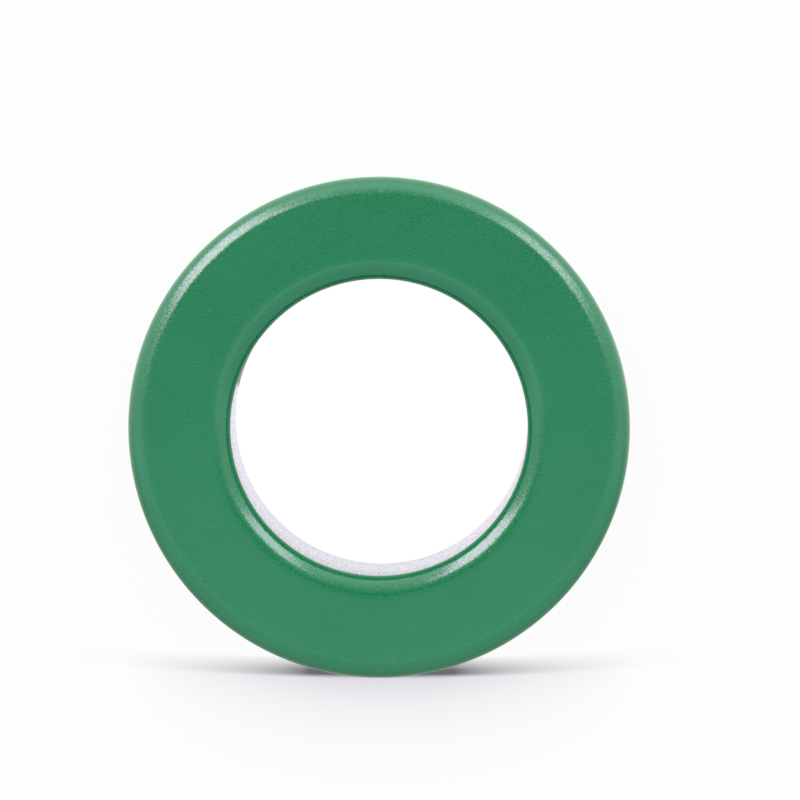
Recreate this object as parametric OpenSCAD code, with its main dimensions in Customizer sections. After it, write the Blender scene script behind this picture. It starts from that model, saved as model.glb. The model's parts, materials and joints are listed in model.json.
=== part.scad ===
// Ferrite toroid core with a smooth green coating, in millimetres.
// It lies flat, with its axis along +Z and its lower face on z = 0.
// The pressed ring is the same at both of its flat faces. The rim and each end of the bore have a chamfer
// that is blended into the flat face on one side, and into the rim or the bore on the other.

/* [Ring] */
// Outer diameter, over the coating
outer_d = 50; // [44:0.5:80]
// Diameter of the bore, inside the coating
bore_d = 29.6; // [10:0.1:32]
// Height along the axis, from flat face to flat face
ring_h = 20; // [10:0.5:40]

/* [Bore edges] */
// Width of the chamfer across the flat face, between its sharp corners
bore_chamfer_w = 1.28; // [1.2:0.02:1.6]
// Depth of the chamfer down the bore, between its sharp corners
bore_chamfer_depth = 0.96; // [0.9:0.02:1.2]
// Radius that blends the chamfer into the flat face
bore_face_blend_r = 1.8; // [1:0.05:1.85]
// Radius that blends the chamfer into the bore
bore_blend_r = 1.45; // [1:0.05:1.5]

/* [Rim edges] */
// Width of the chamfer across the flat face, between its sharp corners
rim_chamfer_w = 1.4; // [1.3:0.05:1.8]
// Depth of the chamfer down the rim, between its sharp corners
rim_chamfer_depth = 1.05; // [0.9:0.05:1.3]
// Radius that blends the chamfer into the flat face
rim_face_blend_r = 1.2; // [0.8:0.05:1.3]
// Radius that blends the chamfer into the rim
rim_blend_r = 2; // [1.4:0.05:2.1]

/* [Hidden] */
$fn = 180;

coating_green = [0.18, 0.51, 0.36];

outer_r = outer_d / 2;
bore_r = bore_d / 2;

// How long the slope of each chamfer is, and which way it faces, as [radius, height]
rim_slope = norm([rim_chamfer_w, rim_chamfer_depth]);
rim_normal = [rim_chamfer_depth, rim_chamfer_w] / rim_slope;
bore_slope = norm([bore_chamfer_w, bore_chamfer_depth]);
bore_normal = [-bore_chamfer_depth, bore_chamfer_w] / bore_slope;

// How far from its corner of the chamfer each blend leaves the straight lines
rim_face_tangent = rim_face_blend_r * (rim_slope - rim_chamfer_w) / rim_chamfer_depth;
rim_tangent = rim_blend_r * (rim_slope - rim_chamfer_depth) / rim_chamfer_w;
bore_face_tangent = bore_face_blend_r * (bore_slope - bore_chamfer_w) / bore_chamfer_depth;
bore_tangent = bore_blend_r * (bore_slope - bore_chamfer_depth) / bore_chamfer_w;

// Centres of the arcs at the upper face, as [radius, height]
rim_blend_c = [outer_r - rim_blend_r, ring_h - rim_chamfer_depth - rim_tangent];
rim_face_blend_c = [outer_r - rim_chamfer_w - rim_face_tangent, ring_h - rim_face_blend_r];
bore_face_blend_c = [bore_r + bore_chamfer_w + bore_face_tangent, ring_h - bore_face_blend_r];
bore_blend_c = [bore_r + bore_blend_r, ring_h - bore_chamfer_depth - bore_tangent];

// The ends of the arcs at the upper face, from the rim in to the bore
upper_points = [
    [outer_r, rim_blend_c.y],
    rim_blend_c + rim_blend_r * rim_normal,
    rim_face_blend_c + rim_face_blend_r * rim_normal,
    [rim_face_blend_c.x, ring_h],
    [bore_face_blend_c.x, ring_h],
    bore_face_blend_c + bore_face_blend_r * bore_normal,
    bore_blend_c + bore_blend_r * bore_normal,
    [bore_r, bore_blend_c.y]
];

// The same place at the lower face as a point has at the upper one
function at_lower_face(point) = [point.x, ring_h - point.y];

// One arc at each face, drawn as a whole disc, since the rest of the disc lies within the ring
module edge_arcs(centre, radius) {
    translate(centre) circle(r = radius);
    translate(at_lower_face(centre)) circle(r = radius);
}

// One side of the ring's cross-section, with +X as the radius and +Y as the height
module ring_section() {
    last = len(upper_points) - 1;
    lower_points = [for (i = [last:-1:0]) at_lower_face(upper_points[i])];
    polygon(concat(lower_points, upper_points));
    edge_arcs(rim_blend_c, rim_blend_r);
    edge_arcs(rim_face_blend_c, rim_face_blend_r);
    edge_arcs(bore_face_blend_c, bore_face_blend_r);
    edge_arcs(bore_blend_c, bore_blend_r);
}

module toroid_core() {
    color(coating_green) rotate_extrude() ring_section();
}

toroid_core();
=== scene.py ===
import json
import math

import bpy
from mathutils import Matrix, Vector, noise


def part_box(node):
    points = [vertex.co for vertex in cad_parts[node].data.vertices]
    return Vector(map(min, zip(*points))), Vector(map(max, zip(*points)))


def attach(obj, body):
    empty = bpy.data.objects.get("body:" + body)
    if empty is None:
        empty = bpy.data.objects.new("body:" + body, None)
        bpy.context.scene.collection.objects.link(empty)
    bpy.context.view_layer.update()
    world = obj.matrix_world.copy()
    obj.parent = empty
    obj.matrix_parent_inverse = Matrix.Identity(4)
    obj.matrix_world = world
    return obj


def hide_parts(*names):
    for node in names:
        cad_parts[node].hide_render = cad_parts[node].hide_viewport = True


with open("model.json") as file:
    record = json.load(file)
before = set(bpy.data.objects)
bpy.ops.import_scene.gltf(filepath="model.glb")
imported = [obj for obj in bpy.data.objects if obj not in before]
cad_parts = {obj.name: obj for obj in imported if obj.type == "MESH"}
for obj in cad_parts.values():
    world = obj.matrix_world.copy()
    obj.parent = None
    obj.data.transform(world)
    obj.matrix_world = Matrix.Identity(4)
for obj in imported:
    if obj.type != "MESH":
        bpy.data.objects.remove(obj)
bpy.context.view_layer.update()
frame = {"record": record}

# Sizes of the ring, in metres. What the frame holds is read from it, and the edges repeat the part's own.
MM = 0.001
NODE = "toroid_core"
NODE_LOW, NODE_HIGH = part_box(NODE)
OUTER_R = (NODE_HIGH[0] - NODE_LOW[0]) / 2
RING_H = NODE_HIGH[2]
BORE_R = next(m["dims"]["r_mm"] for m in frame["record"]["mounts"] if m["name"] == "bore") * MM

# The chamfer at each edge, as (width, depth), and the radii that blend it into the flat face and into the wall
RIM_CHAMFER = (1.4 * MM, 1.05 * MM)
RIM_FACE_BLEND_R = 1.2 * MM
RIM_BLEND_R = 2.0 * MM
BORE_CHAMFER = (1.28 * MM, 0.96 * MM)
BORE_FACE_BLEND_R = 1.8 * MM
BORE_BLEND_R = 1.45 * MM

# How many steps the ring is meshed in: round its axis, and along each arc, chamfer, flat face and wall
TURN_STEPS = 720
ARC_STEPS = 9
SLOPE_STEPS = 2
FACE_STEPS = 12
WALL_STEPS = 14

# Where the photograph shows the ring, in pixels of its 800 x 800 frame, and which way its top points
IMAGE_SIZE = 800
IMAGE_CENTRE = IMAGE_SIZE / 2
RING_CENTRE_PX = (379.0, 427.4)
OUTER_R_PX = 251.05
IMAGE_UP = Vector((0, 1, 0))

# The camera: how far it is from the ring's upper edge, and how far it stands off the ring's axis
CAMERA_DISTANCE = 0.92
CAMERA_OFF_X_DEG = 0.93
CAMERA_OFF_Y_DEG = 3.41
SENSOR_WIDTH_MM = 36.0
CLIP_START = 0.01
CLIP_END = 20

WHITE = (1, 1, 1, 1)
BLACK = (0, 0, 0, 1)


def add_object(name, data):
    """An object with this mesh, lamp or camera, placed in the scene."""
    thing = bpy.data.objects.new(name, data)
    bpy.context.scene.collection.objects.link(thing)
    return thing


def aim(thing, place, target, up):
    """Puts a camera or lamp at a place, looking at a target, with its top towards up."""
    back = (place - target).normalized()
    right = up.cross(back).normalized()
    turn = Matrix((right, back.cross(right), back)).transposed().to_4x4()
    thing.matrix_world = Matrix.Translation(place) @ turn


def make_camera():
    """A long lens over the ring, a little towards the top of the image and to its right."""
    px = OUTER_R / OUTER_R_PX
    ring_centre = Vector((0, 0, RING_H - RIM_CHAMFER[1] - RIM_BLEND_R / 2))
    off_x, off_y = (math.tan(math.radians(angle)) for angle in (CAMERA_OFF_X_DEG, CAMERA_OFF_Y_DEG))
    back = Vector((off_x, off_y, 1)).normalized()
    right = IMAGE_UP.cross(back).normalized()
    up = back.cross(right)
    across = (IMAGE_CENTRE - RING_CENTRE_PX[0]) * px
    down = (RING_CENTRE_PX[1] - IMAGE_CENTRE) * px
    data = bpy.data.cameras.new("camera")
    data.sensor_width = SENSOR_WIDTH_MM
    data.lens = CAMERA_DISTANCE / (IMAGE_SIZE * px) * SENSOR_WIDTH_MM
    data.clip_start = CLIP_START
    data.clip_end = CLIP_END
    camera = add_object("camera", data)
    aim(camera, ring_centre + back * CAMERA_DISTANCE, ring_centre + right * across + up * down, IMAGE_UP)
    bpy.context.scene.camera = camera


def arc(centre, radius, start, end, steps):
    """Points of an arc between two angles in degrees, both ends included."""
    angles = [math.radians(start + (end - start) * i / steps) for i in range(steps + 1)]
    return [(centre[0] + radius * math.cos(a), centre[1] + radius * math.sin(a)) for a in angles]


def between(a, b, steps):
    """Points evenly spaced on a straight line, without its two ends."""
    return [tuple(p + (q - p) * i / steps for p, q in zip(a, b)) for i in range(1, steps)]


def blended_chamfer(wall_r, inwards, chamfer, face_blend_r, wall_blend_r):
    """One edge as (radius, height) points from its wall up to the flat face: two arcs and the chamfer between.

    inwards is 1 where the radius grows from the wall to the flat face, and -1 where it shrinks.
    """
    width, depth = chamfer
    slope = math.hypot(width, depth)
    tilt = math.degrees(math.atan2(depth, width))
    wall_c = (wall_blend_r, -depth - wall_blend_r * (slope - depth) / width)
    face_c = (width + face_blend_r * (slope - width) / depth, -face_blend_r)
    wall_arc = arc(wall_c, wall_blend_r, 180, 90 + tilt, ARC_STEPS)
    face_arc = arc(face_c, face_blend_r, 90 + tilt, 90, ARC_STEPS)
    edge = wall_arc + between(wall_arc[-1], face_arc[0], SLOPE_STEPS) + face_arc
    return [(wall_r + inwards * x, RING_H + z) for x, z in edge]


def ring_section():
    """The ring's cross-section as (radius, height) points, anticlockwise from the top of the rim's wall."""
    rim_edge = blended_chamfer(OUTER_R, -1, RIM_CHAMFER, RIM_FACE_BLEND_R, RIM_BLEND_R)
    bore_edge = blended_chamfer(BORE_R, 1, BORE_CHAMFER, BORE_FACE_BLEND_R, BORE_BLEND_R)[::-1]
    upper = rim_edge + between(rim_edge[-1], bore_edge[0], FACE_STEPS) + bore_edge
    lower = [(r, RING_H - z) for r, z in reversed(upper)]
    bore_wall = between(upper[-1], lower[0], WALL_STEPS)
    rim_wall = between(lower[-1], upper[0], WALL_STEPS)
    return upper + bore_wall + lower + rim_wall


def section_normals(section):
    """The outward normal of the section at each of its points."""
    normals = []
    for i in range(len(section)):
        before, after = section[i - 1], section[(i + 1) % len(section)]
        along = Vector((after[0] - before[0], after[1] - before[1])).normalized()
        normals.append((along.y, -along.x))
    return normals


# The coating's slow waves: how deep the thinnest places lie, how far apart the waves are, and the share of each
WAVE_DEPTH = 0.012 * MM
WAVE_LENGTHS = (5.5 * MM, 2.1 * MM)
WAVE_SHARES = (0.65, 0.35)


def coat_depth(place):
    """How far the coating's surface lies inside the nominal one at a place."""
    waves = sum(share * noise.noise(place / length) for share, length in zip(WAVE_SHARES, WAVE_LENGTHS))
    return WAVE_DEPTH * (0.5 + 0.5 * max(-1.0, min(1.0, waves)))


def make_ring():
    """The coated ring as one closed mesh, turned from its section, with the coating's slow waves."""
    section = ring_section()
    normals = section_normals(section)
    verts, faces = [], []
    for turn in range(TURN_STEPS):
        angle = 2 * math.pi * turn / TURN_STEPS
        c, s = math.cos(angle), math.sin(angle)
        for (r, z), (nr, nz) in zip(section, normals):
            place = Vector((r * c, r * s, z))
            verts.append(place - Vector((nr * c, nr * s, nz)) * coat_depth(place))
    count = len(section)
    for turn in range(TURN_STEPS):
        near, far = turn * count, (turn + 1) % TURN_STEPS * count
        for i in range(count):
            j = (i + 1) % count
            faces.append((near + i, far + i, far + j, near + j))
    mesh = bpy.data.meshes.new("coated_ring")
    mesh.from_pydata(verts, [], faces)
    mesh.polygons.foreach_set("use_smooth", [True] * len(mesh.polygons))
    mesh.update()
    return add_object("coated_ring", mesh)


class Tree:
    """A material's or world's nodes, with short calls for the kinds that are used here."""

    def __init__(self, owner):
        owner.use_nodes = True
        self.nodes, self.links = owner.node_tree.nodes, owner.node_tree.links
        self.nodes.clear()

    def add(self, kind):
        return self.nodes.new(kind)

    def put(self, value, socket):
        """Links a socket's value, or sets a plain one."""
        if isinstance(value, bpy.types.NodeSocket):
            self.links.new(value, socket)
        else:
            socket.default_value = value

    def calc(self, operation, *values):
        node = self.add("ShaderNodeMath")
        node.operation = operation
        for value, socket in zip(values, node.inputs):
            self.put(value, socket)
        return node.outputs[0]

    def product(self, a, b):
        return self.calc("MULTIPLY", a, b)

    def decay(self, value, length):
        """The exponential of a value that is divided by a length."""
        return self.calc("POWER", math.e, self.product(value, 1 / length))

    def ramp(self, value, low, high, from_value, to_value):
        """A value mapped from one range to another, and held at the ends."""
        node = self.add("ShaderNodeMapRange")
        for name, number in (("From Min", low), ("From Max", high), ("To Min", from_value), ("To Max", to_value)):
            node.inputs[name].default_value = number
        self.put(value, node.inputs["Value"])
        return node.outputs["Result"]

    def band(self, value, starts, full, fading, ends):
        """One within a band of values and none outside it, with soft sides."""
        return self.product(self.ramp(value, starts, full, 0, 1), self.ramp(value, fading, ends, 1, 0))

    def distance(self, x, y, centre=(0, 0)):
        """How far a place is from an upright axis through a centre."""
        from_x = self.calc("SUBTRACT", x, centre[0])
        from_y = self.calc("SUBTRACT", y, centre[1])
        return self.calc("SQRT", self.calc("ADD", self.product(from_x, from_x), self.product(from_y, from_y)))

    def place(self):
        """The place on the object, as a vector and as its x and y."""
        place = self.add("ShaderNodeTexCoord").outputs["Object"]
        x, y, _ = self.xyz(place)
        return place, x, y

    def xyz(self, vector):
        node = self.add("ShaderNodeSeparateXYZ")
        self.put(vector, node.inputs[0])
        return node.outputs

    def noise_at(self, place, size, detail=2.0):
        """Noise whose features are about this far apart, in metres."""
        node = self.add("ShaderNodeTexNoise")
        node.inputs["Scale"].default_value = 1 / size
        node.inputs["Detail"].default_value = detail
        self.put(place, node.inputs["Vector"])
        return node.outputs["Fac"]

    def bump(self, height, depth, under=None):
        """A relief of this depth in metres, laid over the relief under it."""
        node = self.add("ShaderNodeBump")
        node.inputs["Strength"].default_value = 1
        node.inputs["Distance"].default_value = depth
        self.put(height, node.inputs["Height"])
        if under is not None:
            self.put(under, node.inputs["Normal"])
        return node.outputs["Normal"]

    def mix(self, amount, a, b):
        """A blend of two colours, each a socket or a plain colour."""
        node = self.add("ShaderNodeMix")
        node.data_type = "RGBA"
        self.put(amount, node.inputs["Factor"])
        self.put(a, node.inputs[6])
        self.put(b, node.inputs[7])
        return node.outputs[2]

    def grey(self, value):
        """A value as a grey colour."""
        node = self.add("ShaderNodeCombineColor")
        for socket in node.inputs:
            self.put(value, socket)
        return node.outputs[0]

    def coloured(self, kind, colour):
        """A shader of a kind that needs only a colour."""
        node = self.add(kind)
        self.put(colour, node.inputs["Color"])
        return node.outputs[0]

    def mix_shaders(self, amount, a, b):
        node = self.add("ShaderNodeMixShader")
        for value, socket in zip((amount, a, b), node.inputs):
            self.put(value, socket)
        return node.outputs[0]

    def rays(self):
        """Whether a ray comes from the camera, and whether it comes by gloss or through glass."""
        path = self.add("ShaderNodeLightPath").outputs
        return path["Is Camera Ray"], self.calc("MAXIMUM", path["Is Glossy Ray"], path["Is Transmission Ray"])


# The coating's greens: in its clouds' dark and pale places, and in its palest grain
COATING_IOR = 1.58
GREEN_DEEP = (0.003, 0.202, 0.066, 1)
GREEN_PALE = (0.006, 0.214, 0.074, 1)
GREEN_LIGHT = (0.016, 0.238, 0.092, 1)
CLOUD_SIZE = 9 * MM
CLOUD_RANGE = (0.35, 0.65)
GRAIN_SIZE = 0.22 * MM
GRAIN_RANGE = (0.3, 0.7)
GRAIN_IN_COLOUR = 0.2

# The specks of dust under the coating's surface. They lie in patches, and their edge is given in cells.
SPECK_COLOUR = (0.16, 0.40, 0.27, 1)
SPECK_SPACING = 0.8 * MM
SPECK_EDGE = (0.02, 0.07)
SPECK_HEIGHT = 0.02 * MM
PATCH_SIZE = 4 * MM
PATCH_RANGE = (0.5, 0.62)

# How rough the coating is where its grain is lowest and highest, and where it is highest at the ring's edges
ROUGHNESS = (0.09, 0.29)
ROUGHNESS_AT_EDGES = 0.43

# The coating's finest relief, which is full at the ring's edges and shallow elsewhere
PEEL_SIZE = 0.22 * MM
PEEL_DETAIL = 3.0
PEEL_DEPTH = 0.018 * MM
PEEL_ON_FACE = 0.25
GRAIN_ON_BORE_WALL = 0.2

# The distances from the axis between which a place counts as an edge of the ring, or as the bore's wall
RIM_EDGE_BAND = (22.6 * MM, 23.4 * MM, 24.50 * MM, 24.88 * MM)
BORE_EDGE_BAND = (15.0 * MM, 15.25 * MM, 16.2 * MM, 17.0 * MM)
BORE_EDGE_SHARE = 0.4
BORE_WALL_ENDS = (14.85 * MM, 15.05 * MM)


def green_coating():
    """Glossy green epoxy with a fine grain, a few dust specks and slightly uneven colour."""
    material = bpy.data.materials.new("green_coating")
    tree = Tree(material)
    shader = tree.add("ShaderNodeBsdfPrincipled")
    tree.put(shader.outputs["BSDF"], tree.add("ShaderNodeOutputMaterial").inputs["Surface"])
    shader.inputs["Metallic"].default_value = 0
    shader.inputs["IOR"].default_value = COATING_IOR
    place, x, y = tree.place()

    cloud = tree.ramp(tree.noise_at(place, CLOUD_SIZE), *CLOUD_RANGE, 0, 1)
    grain = tree.ramp(tree.noise_at(place, GRAIN_SIZE), *GRAIN_RANGE, 0, 1)
    green = tree.mix(cloud, GREEN_DEEP, GREEN_PALE)
    green = tree.mix(tree.product(grain, GRAIN_IN_COLOUR), green, GREEN_LIGHT)
    cells = tree.add("ShaderNodeTexVoronoi")
    cells.inputs["Scale"].default_value = 1 / SPECK_SPACING
    tree.put(place, cells.inputs["Vector"])
    dots = tree.ramp(cells.outputs["Distance"], *SPECK_EDGE, 1, 0)
    specks = tree.product(dots, tree.ramp(tree.noise_at(place, PATCH_SIZE), *PATCH_RANGE, 0, 1))
    tree.put(tree.mix(specks, green, SPECK_COLOUR), shader.inputs["Base Color"])

    off_axis = tree.distance(x, y)
    at_bore = tree.product(tree.band(off_axis, *BORE_EDGE_BAND), BORE_EDGE_SHARE)
    at_edges = tree.calc("MAXIMUM", tree.band(off_axis, *RIM_EDGE_BAND), at_bore)
    dull = tree.ramp(at_edges, 0, 1, ROUGHNESS[1] - ROUGHNESS[0], ROUGHNESS_AT_EDGES - ROUGHNESS[0])
    tree.put(tree.calc("ADD", ROUGHNESS[0], tree.product(grain, dull)), shader.inputs["Roughness"])

    off_wall = tree.ramp(off_axis, *BORE_WALL_ENDS, GRAIN_ON_BORE_WALL, 1)
    relief = tree.product(tree.calc("SUBTRACT", tree.noise_at(place, PEEL_SIZE, PEEL_DETAIL), 0.5), off_wall)
    relief = tree.product(relief, tree.ramp(at_edges, 0, 1, PEEL_ON_FACE, 1))
    peel = tree.bump(relief, PEEL_DEPTH)
    tree.put(tree.bump(specks, SPECK_HEIGHT, peel), shader.inputs["Normal"])
    return material


# The floor: how much of it is plain white to the camera. The rest shows the ring's own shadow, most of all close
# to the ring, within a circle that the photograph's angle hides.
FLOOR_REACH = 3.0
FLOOR_COLOUR = (0.90, 0.90, 0.93, 1)
FLOOR_GLOW = 0.93
FLOOR_GLOW_BY_RING = 0.25
BY_RING_CENTRE = (-0.29 * MM, -1.07 * MM)
BY_RING_R = (24.3 * MM, 25.3 * MM)

# A painted shadow at the foot of the image, drawn into the floor's colour that the camera sees: a curved line
# with a soft pool below it and a dark streak above it
SHADOW_LINE_Y = -26.55 * MM
SHADOW_LINE_BEND = 1.53
POOL_SHADOW_COLOUR = (0.62, 0.60, 0.68, 1)
POOL_STRENGTH = 0.72
POOL_REACH = 2.8 * MM
POOL_ENDS = (5 * MM, 26 * MM)
STREAK_SHADOW_COLOUR = (0.005, 0.002, 0.012, 1)
STREAK_STRENGTH = 3.2
STREAK_DARKEST = 0.84
STREAK_FADE = 5.45 * MM
STREAK_EDGES = (-0.1 * MM, 0.3 * MM, 0.7 * MM, 2.05 * MM)

# The floor's painted glow in mirror images, which stands in for light on the ring: from the foot of the image to
# its top, within the bore, and brightest close to the rim at the top and close to the bore's wall at the foot.
# Right at the bore's wall it is dimmed towards black, a painted shade.
MIRRORED_AT_FOOT = (0.55, 0.55, 0.57, 1)
MIRRORED_AT_TOP = (1.4, 1.4, 1.4, 1)
MIRRORED_SPAN_Y = (-22 * MM, 12 * MM)
MIRRORED_BY_RIM = (1.7, 1.7, 1.7, 1)
RIM_BAND = 3 * MM
RIM_BAND_SPAN_Y = (0, 12 * MM)
MIRRORED_IN_BORE = (0.50, 0.50, 0.52, 1)
MIRRORED_BY_BORE = (1.64, 1.50, 1.72, 1)
BORE_BAND = 2.8 * MM
BORE_BAND_TOP_Y = 3 * MM
CLOSE_TO_BORE = 0.9 * MM
PAINTED_SHADE_CLOSE_TO_BORE = 0.2


def white_with_painted_shadow(tree, x, y, by_ring):
    """White, but for a painted shadow at the foot of the image, whose painted streak runs on to the ring."""
    aside = tree.calc("ABSOLUTE", x)
    line = tree.calc("ADD", SHADOW_LINE_Y, tree.product(tree.product(x, x), SHADOW_LINE_BEND))
    over = tree.calc("SUBTRACT", y, line)
    low, full, fading, top = STREAK_EDGES
    above = tree.ramp(over, fading, top, 1, 0)
    pool = tree.decay(tree.calc("MINIMUM", over, 0), POOL_REACH)
    pool = tree.product(pool, tree.ramp(aside, *POOL_ENDS, POOL_STRENGTH, 0))
    pool = tree.product(pool, above)
    streak = tree.product(tree.decay(aside, -STREAK_FADE), STREAK_STRENGTH)
    streak = tree.product(tree.calc("MINIMUM", streak, STREAK_DARKEST), tree.ramp(over, low, full, 0, 1))
    # The painted streak runs on to the ring's foot.
    to_ring = tree.product(by_ring, tree.calc("LESS_THAN", y, 0))
    streak = tree.product(streak, tree.calc("MAXIMUM", above, to_ring))
    return tree.mix(streak, tree.mix(pool, WHITE, POOL_SHADOW_COLOUR), STREAK_SHADOW_COLOUR)


def painted_glow_in_mirrors(tree, y, off_axis, in_bore):
    """The floor's painted glow in mirror images, with painted shade close to the bore's wall."""
    by_rim = tree.product(tree.ramp(off_axis, OUTER_R + RIM_BAND, OUTER_R + RIM_BAND / 2, 0, 1),
                          tree.ramp(y, *RIM_BAND_SPAN_Y, 0, 1))
    away = tree.mix(tree.ramp(y, *MIRRORED_SPAN_Y, 0, 1), MIRRORED_AT_FOOT, MIRRORED_AT_TOP)
    outside = tree.mix(by_rim, away, MIRRORED_BY_RIM)
    by_bore = tree.product(tree.ramp(off_axis, BORE_R - BORE_BAND, BORE_R - BORE_BAND / 2, 0, 1),
                           tree.calc("LESS_THAN", y, BORE_BAND_TOP_Y))
    close = tree.ramp(off_axis, BORE_R - CLOSE_TO_BORE, BORE_R, 0, PAINTED_SHADE_CLOSE_TO_BORE)
    inside = tree.mix(by_bore, MIRRORED_IN_BORE, tree.mix(close, MIRRORED_BY_BORE, BLACK))
    return tree.mix(in_bore, outside, inside)


def floor_material():
    """Plain white to the camera, with a painted shadow and some of the ring's real shadow; a painted glow in
    mirror images; and a painted white glow in the bore that lights its wall.
    """
    material = bpy.data.materials.new("floor")
    tree = Tree(material)
    _, x, y = tree.place()
    off_axis = tree.distance(x, y)
    in_bore = tree.calc("LESS_THAN", off_axis, BORE_R + BORE_BLEND_R)
    by_ring = tree.ramp(tree.distance(x, y, BY_RING_CENTRE), *BY_RING_R, 1, 0)
    by_ring = tree.calc("SUBTRACT", by_ring, in_bore)
    diffuse = tree.coloured("ShaderNodeBsdfDiffuse", FLOOR_COLOUR)
    # To the camera the floor is white, with the painted shadow drawn into it.
    white = tree.coloured("ShaderNodeEmission", white_with_painted_shadow(tree, x, y, by_ring))
    mirrored = tree.coloured("ShaderNodeEmission", painted_glow_in_mirrors(tree, y, off_axis, in_bore))
    # Within the bore the floor glows white to all other rays, a painted glow that lights the bore's wall as a
    # lamp would.
    bore_floor_glow = tree.coloured("ShaderNodeEmission", WHITE)
    glow = tree.calc("MAXIMUM", in_bore, tree.ramp(by_ring, 0, 1, FLOOR_GLOW, FLOOR_GLOW_BY_RING))
    seen = tree.mix_shaders(glow, diffuse, white)
    from_camera, in_gloss = tree.rays()
    surface = tree.mix_shaders(in_bore, diffuse, bore_floor_glow)
    surface = tree.mix_shaders(from_camera, surface, seen)
    surface = tree.mix_shaders(in_gloss, surface, mirrored)
    tree.put(surface, tree.add("ShaderNodeOutputMaterial").inputs["Surface"])
    return material


def make_floor():
    """A pale floor that looks white and keeps a soft shadow, partly the ring's real shadow and partly painted."""
    mesh = bpy.data.meshes.new("floor")
    corners = [(-1, -1), (1, -1), (1, 1), (-1, 1)]
    mesh.from_pydata([(x * FLOOR_REACH, y * FLOOR_REACH, 0) for x, y in corners], [], [(0, 1, 2, 3)])
    mesh.materials.append(floor_material())
    add_object("floor", mesh)


# The room in mirror images: its colour overhead, low down all round, and on the side of the image's foot,
# near the axis and farther off. The spans are in degrees off the axis, or in the sine of that angle.
ROOM_OVERHEAD = (0.02, 0.02, 0.03, 1)
ROOM_AT_HORIZON = (1.15, 1.25, 1.48, 1)
ROOM_SPAN_DEG = (8, 60)
ROOM_NEAR_FOOT = (1.24, 1.57, 2.10, 1)
ROOM_AT_FOOT = (0.84, 1.06, 1.34, 1)
FOOT_STARTS = (-0.056, -0.080)
FOOT_SPAN = (-0.14, -0.34)

# The room as light: how bright it is from the side of the image's foot and from that of its top, and how far it
# is dimmed low down at the foot
ROOM_LIGHT = (0.62, 1.50)
ROOM_LIGHT_AT_FOOT = 0.25
ROOM_LIGHT_FOOT_SPAN = (-0.95, -0.45)


def make_world():
    """A soft room, dim overhead and bright near the horizon, that the camera sees as white."""
    world = bpy.data.worlds.new("room")
    bpy.context.scene.world = world
    tree = Tree(world)
    _, y, z = tree.xyz(tree.add("ShaderNodeTexCoord").outputs["Generated"])
    low, high = (math.radians(angle) for angle in ROOM_SPAN_DEG)
    around = tree.mix(tree.ramp(tree.calc("ARCCOSINE", z), low, high, 0, 1), ROOM_OVERHEAD, ROOM_AT_HORIZON)
    at_foot = tree.mix(tree.ramp(y, *FOOT_SPAN, 0, 1), ROOM_NEAR_FOOT, ROOM_AT_FOOT)
    mirrored = tree.mix(tree.ramp(y, *FOOT_STARTS, 0, 1), around, at_foot)
    dimmed = tree.ramp(y, *ROOM_LIGHT_FOOT_SPAN, ROOM_LIGHT_AT_FOOT, 1)
    as_light = tree.grey(tree.product(tree.ramp(y, -1, 1, *ROOM_LIGHT), dimmed))
    from_camera, in_gloss = tree.rays()
    room = tree.coloured("ShaderNodeBackground", tree.mix(in_gloss, as_light, mirrored))
    white = tree.coloured("ShaderNodeBackground", WHITE)
    surface = tree.mix_shaders(from_camera, room, white)
    tree.put(surface, tree.add("ShaderNodeOutputWorld").inputs["Surface"])


def softbox(name, tint, brightness, azimuth, off_axis, distance, width, height):
    """An area lamp that looks at the ring, placed by its azimuth and its angle off the ring's axis in degrees."""
    data = bpy.data.lights.new(name, "AREA")
    data.shape = "RECTANGLE"
    data.size = width
    data.size_y = height
    data.color = tint
    data.energy = brightness * math.pi * width * height
    lamp = add_object(name, data)
    a, t = math.radians(azimuth), math.radians(off_axis)
    target = Vector((0, 0, RING_H))
    place = target + distance * Vector((math.sin(t) * math.cos(a), math.sin(t) * math.sin(a), math.cos(t)))
    aim(lamp, place, target, Vector((0, 0, 1)))
    lamp.visible_diffuse = False


def make_lights():
    """A strong softbox on the left, a weaker one on the right and a broad dim one behind."""
    softbox("left_softbox", tint=(1.0, 0.70, 0.97), brightness=11.2,
            azimuth=135.2, off_axis=60, distance=0.9, width=0.45, height=0.76)
    softbox("right_softbox", tint=(1.0, 0.83, 1.06), brightness=6.7,
            azimuth=44.5, off_axis=61, distance=1.0, width=0.42, height=0.72)
    softbox("back_softbox", tint=(1.0, 0.80, 1.15), brightness=1.0,
            azimuth=90, off_axis=79, distance=1.1, width=1.30, height=0.40)


bpy.context.scene.view_settings.view_transform = "Standard"
make_camera()
make_floor()
make_world()
make_lights()

ring = make_ring()
ring.data.materials.append(green_coating())
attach(ring, "root")
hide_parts(NODE)
